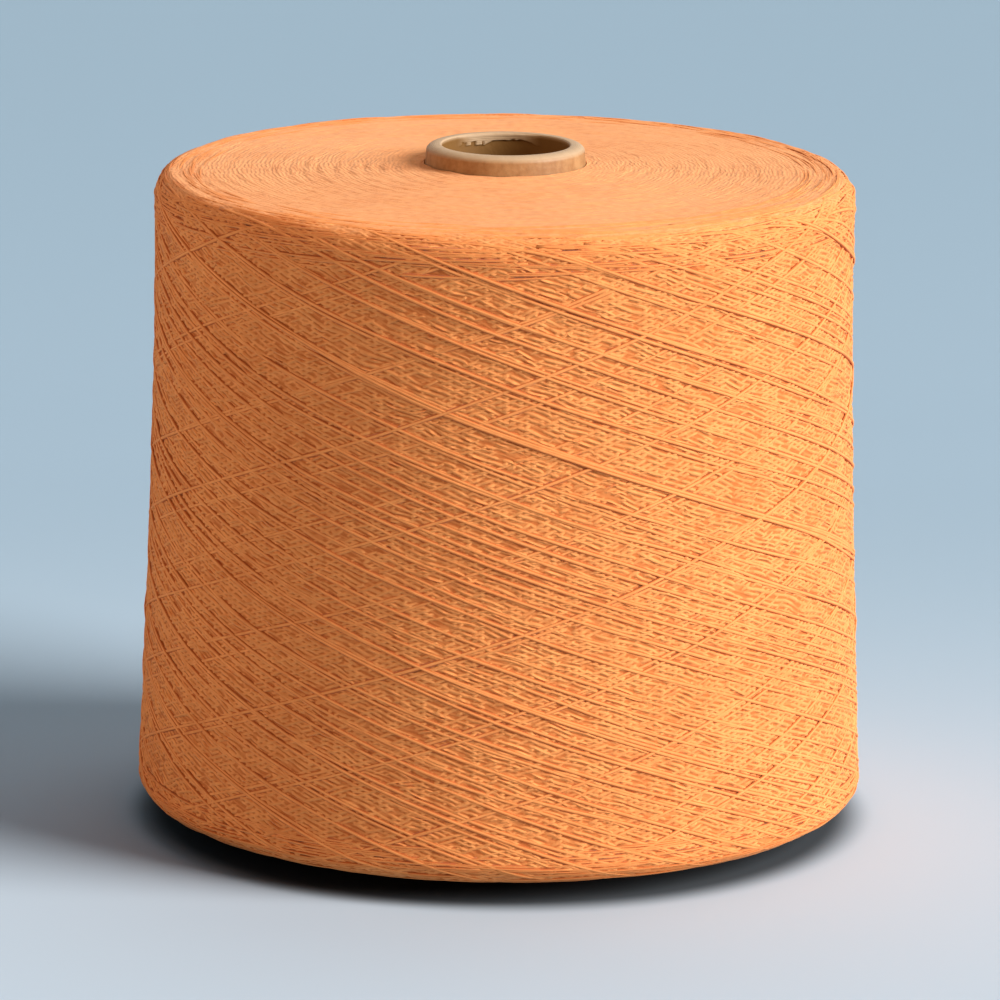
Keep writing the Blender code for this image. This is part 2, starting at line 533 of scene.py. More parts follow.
def reckon(tree, operation, *values):
    """The output of a Math node of the operation over the values, which are numbers or output sockets."""
    return node(tree, "ShaderNodeMath", list(enumerate(values)), operation=operation).outputs[0]


def noise(tree, place, scale, detail, output="Fac"):
    """An output of a noise texture over a place."""
    links = [("Vector", place), ("Scale", scale), ("Detail", detail)]
    return node(tree, "ShaderNodeTexNoise", links).outputs[output]


def mapped(tree, value, low, high, most=1.0):
    """The value with its stretch from low to high drawn to 0 to most, and held there."""
    links = [("Value", value), ("From Min", low), ("From Max", high), ("To Max", most)]
    return node(tree, "ShaderNodeMapRange", links).outputs[0]


def mixed(tree, share, first, second):
    """A number between the first, at share 0, and the second, at share 1."""
    return node(tree, "ShaderNodeMix", [(0, share), (2, first), (3, second)]).outputs[0]


def mixed_shade(tree, share, first, second):
    """A colour between the first, at share 0, and the second, at share 1."""
    links = [(0, share), (6, first), (7, second)]
    return node(tree, "ShaderNodeMix", links, data_type="RGBA").outputs[2]


def raised(tree, height, distance, strength=1.0, under=()):
    """The normal of a relief of a height, given as a share of the distance, on top of the links in under."""
    links = [("Height", height), ("Strength", strength), ("Distance", distance), *under]
    return node(tree, "ShaderNodeBump", links).outputs["Normal"]


def own_place(tree):
    """The Object coordinates, in metres."""
    return node(tree, "ShaderNodeTexCoord").outputs["Object"]


def from_map(tree, name):
    """The two values of one of the mesh's maps."""
    values = node(tree, "ShaderNodeUVMap", uv_map=name).outputs["UV"]
    split = node(tree, "ShaderNodeSeparateXYZ", [(0, values)])
    return split.outputs["X"], split.outputs["Y"]


def turn_back(tree, row):
    """A raised cosine across each row: 0 where the row is a whole number and 1 half way between."""
    wave = reckon(tree, "COSINE", reckon(tree, "MULTIPLY", row, 2 * math.pi))
    return reckon(tree, "MULTIPLY_ADD", wave, -0.5, 0.5)


def packed_group():
    """Relief of packed turns of yarn that cross: strands rise and fall round the package in even rows.

    From the map yarn_place come a strand number for each way, turns * strands +- metres * rows, bent a little
    by noise. A row's back is a raised cosine across it, with a random height of its own. A slow noise says
    which way lies on top at a place, and the other way cuts it into lenses.
    Height is that relief and Gap is 1 in the crevices, which the body's finish fills with painted shade.
    """
    group, ins, outs = new_group(
        "packed_turns",
        [
            ("Strands", "NodeSocketFloat", FACE_STRANDS),
            ("Rows", "NodeSocketFloat", 900.0),
            ("Bend", "NodeSocketFloat", 1.4),
        ],
        [("Height", "NodeSocketFloat"), ("Gap", "NodeSocketFloat")],
    )
    around, along = from_map(group, "yarn_place")
    body = own_place(group)
    bend = node(group, "ShaderNodeSeparateColor", [(0, noise(group, body, BEND_SCALE, 1.0, "Color"))])
    across = reckon(group, "MULTIPLY", around, ins.outputs["Strands"])
    along = reckon(group, "MULTIPLY", along, ins.outputs["Rows"])
    backs = []
    for operation, channel in (("ADD", "Red"), ("SUBTRACT", "Green")):
        centred = reckon(group, "SUBTRACT", bend.outputs[channel], 0.5)
        row = reckon(group, operation, along, across)
        row = reckon(group, "MULTIPLY_ADD", centred, ins.outputs["Bend"], row)
        number = reckon(group, "FLOOR", row)
        chance = node(group, "ShaderNodeTexWhiteNoise", [("W", number)], noise_dimensions="1D")
        height = reckon(group, "MULTIPLY_ADD", chance.outputs["Value"], 0.6, 0.6)
        backs.append(reckon(group, "MULTIPLY", turn_back(group, row), height))
    upper = mapped(group, noise(group, body, TOP_SCALE, 0.0), 0.44, 0.56)
    top, other = mixed(group, upper, *backs), mixed(group, upper, *backs[::-1])
    lens = reckon(group, "MULTIPLY", top, reckon(group, "MULTIPLY_ADD", other, 0.45, 0.55))
    group.links.new(lens, outs.inputs["Height"])
    group.links.new(mapped(group, lens, 0.50, 0.05), outs.inputs["Gap"])
    return group


def spun_group():
    """Colour of spun yarn: slow random drifts of tone over the package, fine specks, and painted shade where
    Gap is 1.
    """
    group, ins, outs = new_group(
        "spun_yarn",
        [
            ("Shade", "NodeSocketColor", (0.8, 0.3, 0.1, 1)),
            ("Deep shade", "NodeSocketColor", (0.6, 0.2, 0.05, 1)),
            ("Gap", "NodeSocketFloat", 0.0),
        ],
        [("Color", "NodeSocketColor")],
    )
    place = own_place(group)
    drifts, specks = noise(group, place, DRIFT_SCALE, 2.0), noise(group, place, SPECK_SCALE, 0.0)
    both = reckon(group, "ADD", drifts, specks)
    # Painted shade: where Gap is 1 the colour turns fully to the deep shade, for shadow in crevices; random
    # drifts darken it a little
    share = reckon(group, "MAXIMUM", mapped(group, both, 0.7, 1.3, 0.24), ins.outputs["Gap"])
    color = mixed_shade(group, share, ins.outputs["Shade"], ins.outputs["Deep shade"])
    group.links.new(color, outs.inputs["Color"])
    return group


def new_material(name):
    """A material with its node tree and its shader."""
    material = bpy.data.materials.new(name)
    material.use_nodes = True
    return material, material.node_tree, material.node_tree.nodes["Principled BSDF"]


def spin(settings, tree, shader, shade, gap, under=()):
    """Give the shader the yarn's finish: matt and a little fuzzy, in its shade, with painted shade where gap
    is 1.

    The fuzz is a fine relief on top of the normal that the links in under bring.
    """
    links = [("Shade", shade), ("Deep shade", (*settings.yarn_drift_and_shadow_shade, 1)), ("Gap", gap)]
    group = bpy.data.node_groups.get("spun_yarn") or spun_group()
    spun = node(tree, "ShaderNodeGroup", links, node_tree=group)
    fuzz = raised(tree, noise(tree, own_place(tree), FUZZ_SCALE, 1.0), FUZZ_HEIGHT, 1.0, under)
    tree.links.new(spun.outputs["Color"], shader.inputs["Base Color"])
    tree.links.new(fuzz, shader.inputs["Normal"])
    shader.inputs["Roughness"].default_value = 0.85
    shader.inputs["Specular IOR Level"].default_value = 0.05
    shader.inputs["Sheen Weight"].default_value = 0.12
    shader.inputs["Sheen Roughness"].default_value = 0.4
    shader.inputs["Sheen Tint"].default_value = (1.0, 0.82, 0.64, 1)


def yarn_material(settings, name, shade, crevice):
    """Finish of the strands: spun yarn with painted shade on its flanks, as deep as crevice says.

    The painted shade of a strand's own crevice lies on the outer sides of its section, which the map yarn_run
    numbers.
    """
    material, tree, shader = new_material(name)
    share = from_map(tree, "yarn_run")[1]
    off = reckon(tree, "ABSOLUTE", reckon(tree, "MULTIPLY_ADD", share, len(STRAND_SECTION), -2.5))
    # Painted shade on the outer flanks and skirt of the section
    spin(settings, tree, shader, (*shade, 1), mapped(tree, off, 0.5, 1.5, crevice))
    return material


def body_material(settings):
    """Finish of the body: woven backs with deep crevices on the side, and on the faces rings almost level.

    Across each turn of the weave its back is a raised cosine times its level in the map yarn_levels, and of
    the turns that fall and those that rise the higher is seen. A noise fills the holes here and there.
    The holes get painted shade, the face rings' gaps a little, and the faces a paler colour as painted sheen.
    """
    material, tree, shader = new_material("packed_yarn")
    around, along = from_map(tree, "yarn_place")
    strands, rise = weave_counts(settings)
    up = reckon(tree, "DIVIDE", reckon(tree, "SUBTRACT", along, OUTLINE.under_end), rise)
    round_ = reckon(tree, "MULTIPLY", around, strands)
    backs = []
    for operation, level in zip(("ADD", "SUBTRACT"), from_map(tree, "yarn_levels")):
        back = reckon(tree, "POWER", turn_back(tree, reckon(tree, operation, up, round_)), BACK_POWER)
        backs.append(reckon(tree, "MULTIPLY", back, level))
    links = [(0, own_place(tree)), (1, (1, 1, 3))]
    flattened = node(tree, "ShaderNodeVectorMath", links, operation="MULTIPLY").outputs[0]
    filled = mapped(tree, noise(tree, flattened, FILLED_SCALE, 1.0), 0.40, 0.65, FILLED_HEIGHT)
    woven = reckon(tree, "MAXIMUM", reckon(tree, "MAXIMUM", *backs), filled)
    # Painted shade: the lower the woven relief, the more the colour turns to the deep shade, for shadow in
    # the holes
    hole = mapped(tree, woven, *HOLE_HEIGHTS, HOLE_PAINTED_SHADOW)

    middle = (OUTLINE.lower_edge + OUTLINE.upper_edge) / 2
    half = middle - OUTLINE.lower_edge
    off = reckon(tree, "ABSOLUTE", reckon(tree, "SUBTRACT", along, middle))
    flat = mapped(tree, off, half + FLAT_FROM, half + FLAT_TO)
    links = [("Strands", FACE_STRANDS), ("Rows", 1 / settings.face_pitch)]
    packed = node(tree, "ShaderNodeGroup", links, node_tree=packed_group())
    rings = reckon(tree, "MULTIPLY", packed.outputs["Height"], settings.face_relief / settings.weave_bump)
    height = mixed(tree, flat, woven, rings)
    # Painted shade in the gaps between the face rings, weaker than in the side's holes
    gap = mixed(tree, flat, hole, reckon(tree, "MULTIPLY", packed.outputs["Gap"], FACE_GAP_SHADOW))
    # Painted sheen: the faces get a paler copy of the yarn's colour, for light that falls on their flat turns
    shade = mixed_shade(tree, flat, (*settings.yarn_shade, 1), (*settings.face_painted_sheen_shade, 1))
    relief = raised(tree, height, settings.weave_bump)
    spin(settings, tree, shader, shade, gap, [("Normal", relief)])
    return material


def paper_material(settings):
    """Kraft paper: mottled by fibres, paler on the rim, partly as painted highlight, with painted shade in
    the bore, and layered on the rim.

    From the map paper_place come the metres down the wall from the rim's crest, plus on the outside and minus
    in the bore, and from paper_torn where the torn layer is.
    """
    material, tree, shader = new_material("kraft_paper")
    place = own_place(tree)
    fibre, mottle = noise(tree, place, FIBRE_SCALE, 4.0), noise(tree, place, MOTTLE_SCALE, 3.0)
    down, torn = from_map(tree, "paper_place")[1], from_map(tree, "paper_torn")[0]
    # Painted shade: the bore is darkened inside the cone, except on the torn layer
    bore = reckon(tree, "SUBTRACT", mapped(tree, down, *BORE_FADE), torn)
    inner, outer = mapped(tree, down, *RIM_IN_FADE), mapped(tree, down, *RIM_OUT_FADE)
    # Pale rim and torn layer: paler cut paper with a painted highlight on top
    rim = reckon(tree, "MAXIMUM", reckon(tree, "MULTIPLY", inner, outer), torn)
    share = mapped(tree, reckon(tree, "ADD", fibre, mottle), 0.75, 1.25)
    shades = settings.paper_shade, settings.paper_deep_shade, settings.rim_pale_and_highlight_shade, settings.bore_shadow_shade
    paper, deep, pale, dark = ((*shade, 1) for shade in shades)
    color = mixed_shade(tree, share, paper, deep)
    color = mixed_shade(tree, reckon(tree, "MULTIPLY", rim, 0.8), color, pale)
    color = mixed_shade(tree, bore, color, dark)
    layers = reckon(tree, "SINE", reckon(tree, "MULTIPLY", down, 2 * math.pi / settings.paper_layer))
    layers = reckon(tree, "MULTIPLY", layers, reckon(tree, "MULTIPLY", rim, 0.15))
    height = reckon(tree, "ADD", fibre, layers)
    tree.links.new(color, shader.inputs["Base Color"])
    tree.links.new(raised(tree, height, FIBRE_HEIGHT, 0.6), shader.inputs["Normal"])
    shader.inputs["Roughness"].default_value = 0.55
    shader.inputs["Specular IOR Level"].default_value = 0.35
    return material


# ---------------------------------------------------------------- settings


def in_metres(name, description, default):
    """A size."""
    return bpy.props.FloatProperty(
        name=name, description=description, default=default, unit="LENGTH", subtype="DISTANCE"
    )


def in_degrees(name, description, default):
    """An angle, given in degrees and held in radians."""
    return bpy.props.FloatProperty(
        name=name, description=description, default=math.radians(default), unit="ROTATION", subtype="ANGLE"
    )


def in_watts(name, description, default):
    """The power of a lamp."""
    return bpy.props.FloatProperty(name=name, description=description, default=default, unit="POWER")


def as_number(name, description, default):
    """A share or another plain number."""
    return bpy.props.FloatProperty(name=name, description=description, default=default)


def as_count(name, description, default):
    """A whole number."""
    return bpy.props.IntProperty(name=name, description=description, default=default)


def as_shade(name, description, default):
    """A colour as red, green and blue."""
    return bpy.props.FloatVectorProperty(name=name, description=description, default=default, subtype="COLOR")


class YarnConeSettings(bpy.types.PropertyGroup):
    """Sizes and shades of the wound yarn and the paper cone."""

    seed: as_count("Seed", "Seed of all that is random", 11)
    thickness: in_metres("Yarn thickness", "Width of the yarn", 0.00088)
    wind_angle: in_degrees("Wind angle", "Slope of the yarn on the side", 20)
    ratio_part: as_number("Winding ratio", "Part turn by which one double stroke leads the last", 0.7669167)
    turn_ease: as_number("Turn ease", "Share of a stroke over which the yarn turns round", 0.075)
    strokes: as_count("Strokes", "Strokes of the yarn guide that are wound", 120)
    proud_strokes: as_count("Proud strokes", "Last strokes that stand out more and more", 120)
    samples: as_count("Samples", "Points along each stroke", 160)
    drift: as_number("Drift", "Random turns that a double stroke is off its place", 0.0003)
    wander: in_metres("Wander", "How far a strand strays from its line", 0.00030)
    depth: in_metres("Pressed depth", "Height of a strand pressed into the pile", 0.00014)
    outer_depth: in_metres("Outer depth", "Height of the last strands, which nothing presses", 0.00032)
    strand_sink: in_metres("Strand depth", "How far under the outline the last strands rest", 0.00016)
    strand_waves: in_metres("Strand waves", "How far the last strands go in and out of the pile", 0.00008)
    turn_sink: in_metres("Turning depth", "How much deeper a strand lies where it turns round", 0.00022)
    sink: in_metres("Body depth", "How far the packed turns lie under the outline on the side", 0.00006)
    weave_pitch: in_metres("Weave pitch", "Distance between neighbouring turns of the packed yarn", 0.00118)
    weave_depth: in_metres("Weave depth", "Depth of the holes between packed turns", 0.00055)
    weave_bump: in_metres("Weave relief", "Height of the rounding of the packed turns' backs", 0.00034)
    weave_run: in_metres("Weave run", "Distance over which a packed turn comes up or goes down", 0.0017)
    weave_filled: as_number("Weave filled", "How far up the holes between turns are filled at most", 0.5)
    weave_rising: as_number("Weave rising", "Greatest height of a rising turn, as a share", 0.95)
    weave_least: as_number("Weave least", "Least height of a falling turn, as a share", 0.30)
    weave_unevenness: as_number("Weave unevenness", "How far a turn is off its line, in pitches", 0.14)
    weave_stray: in_metres("Weave stray", "How far packed turns stray from their lines", 0.00040)
    face_sink: in_metres("Face depth", "How far the body lies under the outline on the faces", 0.00010)
    face_arcs: as_count("Face arcs", "Turns of yarn that show on the upper face", 1400)
    face_pitch: in_metres("Face pitch", "Width of the packed turns on the faces", 0.0011)
    face_relief: in_metres("Face relief", "Height of the packed turns on the faces", 0.00012)
    ripple: in_metres("Ripple", "Height of the wavy rings on the faces", 0.00009)
    yarn_shade: as_shade("Yarn shade", "Main colour of the yarn", (0.94, 0.352, 0.108))
    # Painted sheen: a paler copy of the yarn's colour for the faces
    face_painted_sheen_shade: as_shade("Face shade", "Paler colour of the yarn on the faces", (0.92, 0.395, 0.152))
    # Dark tone of the random drifts, and the colour of the painted shade in crevices and holes
    yarn_drift_and_shadow_shade: as_shade("Deep shade", "Darker colour in the yarn", (0.42, 0.056, 0.003))
    # How dark the painted shade on the flanks of the last strands is
    strand_flank_shadow: as_number("Strand crevice", "How dark the sides of the last strands are", 0.68)
    paper_shade: as_shade("Paper shade", "Main colour of the paper cone", (0.44, 0.24, 0.095))
    paper_deep_shade: as_shade("Paper deep shade", "Darker paper fibres", (0.33, 0.16, 0.055))
    # Paler cut paper of the rim, with a painted highlight
    rim_pale_and_highlight_shade: as_shade("Rim shade", "Paler colour of the paper on the rim", (0.56, 0.38, 0.22))
    # Painted shade of the bore's recess
    bore_shadow_shade: as_shade("Bore shade", "Darker colour of the paper in the bore", (0.22, 0.10, 0.022))
    paper_layer: in_metres("Paper layer", "Thickness of the paper layers that show on the rim", 0.00045)
    torn_layer: in_metres("Torn layer", "Thickness of the torn paper layer", 0.00035)
    torn_depth: in_metres("Torn depth", "How far the torn layer reaches down from the rim's crest", 0.0030)
    torn_side: in_degrees("Torn side", "Where round the cone the layer is torn", 98)


class YarnStageSettings(bpy.types.PropertyGroup):
    """The plain studio round the cone."""

    # The sweep's bluish grey, painted darker from floor to bend to backdrop for the falloff of light
    floor_shade: as_shade("Floor shade", "Colour of the floor", (0.59, 0.675, 0.735))
    bend_shade: as_shade("Bend shade", "Colour of the floor's far end", (0.375, 0.475, 0.545))
    backdrop_shade: as_shade("Backdrop shade", "Colour of the backdrop", (0.295, 0.39, 0.455))
    # Painted contact shadow: the floor is darkened under the package out to this radius
    contact_shadow_radius: in_metres("Contact radius", "How far out the floor under the package is dark", 0.096)
    fill_shade: as_shade("Fill shade", "Colour of the light from all round", (0.80, 0.86, 0.92))
    fill_strength: as_number("Fill strength", "Strength of the light from all round", 0.10)
    key_shade: as_shade("Key shade", "Colour of the main light", (1.0, 1.0, 1.02))
    key_power: as_number("Key light", "Strength of the main light, in watts a square metre", 5.4)
    key_width: in_degrees("Key width", "How wide the main light looks from the package", 34)
    key_side: in_degrees("Key side", "How far the main light stands forward of the right", 20)
    key_rise: in_degrees("Key rise", "How high the main light stands", 26)
    left_shade: as_shade("Left shade", "Colour of the left lamp", (1.0, 0.66, 0.40))
    left_power: in_watts("Left light", "Power of the left lamp", 8.0)
    top_power: in_watts("Top light", "Power of the upper lamp", 5.0)


# ---------------------------------------------------------------- operators


# Shares of a stretch that are seen, from which it is kept and from which its neighbours are kept too
SEEN_LEAST = 0.05
SEEN_WELL = 0.2

# Strands: how much their thickness varies, how many waves' height rising ones lie deeper, and the distance
# before an edge from which they go deeper and the run over which they do
THICKNESS_SPREAD = 0.06
RISING_DEEPER = 1.6
SINK_BEFORE = 0.002
SINK_RUN = 0.007


class YARN_OT_side_strands(bpy.types.Operator):
    """Wind the yarn of the package's side, strand over strand"""

    bl_idname = "yarn_cone.side_strands"
    bl_label = "Wind side strands"

    def execute(self, context):
        settings = context.scene.yarn_cone
        distance, angle = wind_side(settings)
        stroke = np.arange(settings.strokes)
        outer = np.clip((stroke - settings.strokes) / settings.proud_strokes + 1, 0, 1)
        # Every falling stroke shows, and every third rising one
        shown = (stroke % 2 == 1) | (stroke % 6 == 0)
        distance, angle, outer = distance[shown], angle[shown], outer[shown]
        depths = settings.depth + (settings.outer_depth - settings.depth) * outer
        heights, seen = pile_up(distance, angle, settings.thickness, depths)
        kept = seen > SEEN_LEAST
        kept[:, 1:] |= seen[:, :-1] > SEEN_WELL
        kept[:, :-1] |= seen[:, 1:] > SEEN_WELL
        rng = np.random.default_rng(settings.seed + 1)
        count, samples = distance.shape
        radii = settings.thickness / 2 * (1 + THICKNESS_SPREAD * smooth_noise(rng, count, samples, 30))
        turning = np.clip((distance - OUTLINE.upper_edge + SINK_BEFORE) / SINK_RUN, 0, 1)
        turning = turning + np.clip((OUTLINE.lower_edge + SINK_BEFORE - distance) / SINK_RUN, 0, 1)
        waves = smooth_noise(rng, count, samples, 40) * settings.strand_waves
        rises = (np.diff(distance[:, [0, -1]]) > 0) * RISING_DEEPER * settings.strand_waves
        sunk = settings.strand_sink + settings.turn_sink * turning
        lift = heights + waves - rises - sunk - STRAND_TOP * radii
        share = np.cumsum(kept.sum(1)) / kept.sum()
        material = yarn_material(settings, "outer_yarn", settings.yarn_shade, settings.strand_flank_shadow)
        for number in range(2):
            chosen = (share > number / 2) & (share <= (number + 1) / 2)
            centres, outward = on_outline(distance[chosen], angle[chosen], lift[chosen])
            places = places_of(distance[chosen], angle[chosen])
            tubes = carried(STRAND_SECTION, centres, outward, radii[chosen], kept[chosen], places)
            piece = mesh_piece(f"side_strands_{number + 1}", *tubes, material)
            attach(piece, ROOT)
            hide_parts("wound_yarn")
        return {"FINISHED"}


# Waves on the package as a number of them, the most waves round the axis, and the pitches along the outline
SLOW_WAVES = (8, 40, (0.012, 0.030))
RINGS = (9, 14, (0.0024, 0.0042))


def wavy(angle, distance, seed, number, most, pitches):
    """Random waves of about unit size: a sum of cosines of angle and distance."""
    rng = np.random.default_rng(seed)
    total = 0
    for _ in range(number):
        waves, pitch = rng.integers(-most, most + 1), rng.uniform(*pitches)
        phase = rng.uniform(0, 2 * math.pi)
        total = total + np.cos(waves * angle + 2 * math.pi * distance / pitch + phase)
    return total / 3


# Arcs on the faces: least and greatest half length, spread of their slant, and the length of turning
ARC_HALVES = (0.009, 0.016)
ARC_SLANT = math.radians(1.5)
TURNING_LENGTH = 0.030


def face_arcs(settings, first, last, count, back, seed):
    """Turns of the yarn that show on a flat face: (distance, angle, lift) of each.

    Each is a short arc round the axis between two distances along the outline, where the yarn comes up out of
    the package, turns and dives again: its lift is a random level and the rings less half of
    slope * x^2 / (2 * turning length), with x its run from the middle.
    """
    rng = np.random.default_rng(seed)
    inner, outer = OUTLINE.at(last)[0], OUTLINE.at(first)[0]
    radius = np.sqrt(rng.uniform(inner**2, outer**2, count))
    middle = first + (last - first) * (outer - radius) / (outer - inner)
    turn = rng.uniform(0, 2 * math.pi, count)
    half = rng.uniform(*ARC_HALVES, count)
    run = np.linspace(-1, 1, 9) * half[:, None]
    distance = middle[:, None] + run * np.tan(rng.normal(0, ARC_SLANT, count))[:, None]
    angle = turn[:, None] + run / radius[:, None]
    dive = math.tan(settings.wind_angle) * run**2 / (2 * TURNING_LENGTH)
    rings = wavy(angle, distance, settings.seed + 30, *RINGS)
    back = back * rng.uniform(0.4, 1, count)[:, None]
    lift = back + settings.ripple * rings - settings.face_sink - 0.5 * dive
    return distance, angle, lift


class YARN_OT_face_strands(bpy.types.Operator):
    """Lay the turns of yarn that show on the upper face and the underside"""

    bl_idname = "yarn_cone.face_strands"
    bl_label = "Lay face strands"

    def execute(self, context):
        settings = context.scene.yarn_cone
        # The face yarn takes the paler painted-sheen colour and no painted shade on its flanks
        face_yarn = yarn_material(settings, "face_yarn", settings.face_painted_sheen_shade, 0.0)
        outer_yarn = bpy.data.materials["outer_yarn"]
        arcs = settings.face_arcs
        upper, under, end = OUTLINE.face_start, OUTLINE.under_end, OUTLINE.length[-1]
        places = {
            "upper_strands": (upper - 0.002, end - 0.0004, arcs, face_yarn, 0.00011),
            "shoulder_strands": (OUTLINE.upper_edge - 0.004, upper + 0.008, arcs // 2, outer_yarn, 0.00026),
            "under_strands": (under + 0.002, under - 0.030, arcs // 3, face_yarn, 0.00011),
            "foot_strands": (OUTLINE.lower_edge + 0.004, under - 0.002, arcs // 2, outer_yarn, 0.00026),
        }
        for number, (name, (first, last, count, material, back)) in enumerate(places.items()):
            distance, angle, lift = face_arcs(settings, first, last, count, back, settings.seed + 20 + number)
            centres, outward = on_outline(distance, angle, lift - TURN_TOP * settings.thickness / 2)
            radii = np.full(distance.shape, settings.thickness / 2)
            kept = np.ones((count, distance.shape[1] - 1), bool)
            tubes = carried(TURN_SECTION, centres, outward, radii, kept, places_of(distance, angle))
            piece = mesh_piece(name, *tubes, material)
            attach(piece, ROOT)
            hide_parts("wound_yarn")
        return {"FINISHED"}


def weave_counts(settings):
    """Turns of the weave round the axis, a whole number for each wedge, and their distance up the side."""
    round_ = math.pi * (TOP_RADIUS + BOTTOM_RADIUS)
    strands = 3 * round(round_ * math.sin(settings.wind_angle) / settings.weave_pitch / 3)
    return strands, round_ * math.tan(settings.wind_angle) / strands


def along_turns(values, phase, number, turn):
    """Values along turns: one row of values for each, at knots round the axis, joined by cosine steps."""
    strands, knots = values.shape
    row = number % strands
    place = turn * knots + phase[row]
    left = np.floor(place).astype(int)
    part = (1 - np.cos((place - left) * math.pi)) / 2
    return values[row, left % knots] * (1 - part) + values[row, (left + 1) % knots] * part


def between_turns(values, phase, number, turn):
    """Values along turns on their middle lines, where number is odd, and between two turns their mean."""
    both = [along_turns(values, phase, turns, turn) for turns in ((number - 1) // 2, number // 2)]
    return (both[0] + both[1]) / 2


def woven_backs(settings, rows, strands, first, columns):
    """Packed turns that cross, for a grid of rows and columns: relief, levels of turns each way and stray.

    Row b and column a stand for the place a / 4, b / 4 on the lattice, so (a + b) / 4 counts turns that fall
    to the right and (b - a) / 4 those that rise, and halves are their middle lines. A turn has a random level
    along its middle line, and between two turns the level is their mean. The relief is 0 in holes and 1 on
    backs: on middle lines the higher level of those that cross there, and elsewhere a hole of random depth.
    A place strays as the turn that lies higher there wanders off its line, by a random share of the pitch.
    """
    rng = np.random.default_rng(settings.seed + 7)
    b, a = np.meshgrid(np.arange(rows), first + np.arange(columns), indexing="ij")
    i, j = (a + b) // 2, (b - a) // 2
    turn = a / (4 * strands)
    knots = round(math.pi * (TOP_RADIUS + BOTTOM_RADIUS) * math.cos(settings.wind_angle) / settings.weave_run)
    levels, asides = [], []
    for number, least, most in ((i, settings.weave_least, 1), (j, 0, settings.weave_rising)):
        values, phase = rng.random((strands, knots)), rng.random(strands)
        level = np.clip((between_turns(values, phase, number, turn) - 0.2) / 0.6, 0, 1)
        levels.append(least + (most - least) * level)
        values, phase = rng.normal(0, settings.weave_unevenness, (strands, knots // 3)), rng.random(strands)
        asides.append(between_turns(values, phase, number, turn))
    hole = (rng.random((rows, strands)) * settings.weave_filled)[b, i // 2 % strands]
    shift = np.where(levels[0] > levels[1], *asides)
    relief = np.maximum(np.maximum(levels[0] * (i % 2), levels[1] * (j % 2)), hole)
    return relief, np.stack(levels, -1), shift * settings.weave_pitch


class YARN_OT_wound_body(bpy.types.Operator):
    """Make the closed body of older yarn that shows in the gaps between strands"""

    bl_idname = "yarn_cone.wound_body"
    bl_label = "Make wound body"

    def execute(self, context):
        settings = context.scene.yarn_cone
        material = body_material(settings)
        strands, rise = weave_counts(settings)
        step = rise / 4
        start, stop = OUTLINE.under_end, OUTLINE.face_start
        rows = 2 * round((stop - start) / step / 2)
        under = np.linspace(0, start, 48, endpoint=False)
        face = np.linspace(stop, OUTLINE.length[-1], 101)
        length = np.concatenate([under, start + (stop - start) * np.arange(rows) / rows, face])
        edges = [start - 0.004, OUTLINE.lower_edge, OUTLINE.upper_edge, stop + 0.004]
        sunk = [settings.face_sink, settings.sink, settings.sink, settings.face_sink]
        depth = np.interp(length, edges, sunk)[:, None]
        flat = np.interp(length, edges, [1, 0, 0, 1])[:, None]
        columns = 4 * strands // WEDGES
        for number in range(WEDGES):
            angle = 2 * math.pi * (number * columns + np.arange(columns + 1)) / (4 * strands)
            rings = wavy(angle, length[:, None], settings.seed + 30, *RINGS)
            backs, levels, aside = woven_backs(settings, len(length), strands, number * columns, columns + 1)
            relief = backs + (1 - backs) * flat
            waves = wavy(angle, length[:, None], settings.seed + 8, *SLOW_WAVES)
            stray = waves * settings.weave_stray + aside
            lift = settings.ripple * flat * rings - depth - settings.weave_depth * (1 - relief)
            sector = wedge(length, stray * (1 - flat), lift, levels, angle)
            piece = mesh_piece(f"wound_body_{number + 1}", *sector, material)
            piece.data.set_sharp_from_angle(angle=math.radians(60))
            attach(piece, ROOT)
            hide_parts("wound_yarn")
        return {"FINISHED"}


# The bore's wall: how far down from the lip it is made in fine rows, and where its plain rows start
FINE_REACH = 0.0035
PLAIN_TOP = 0.155


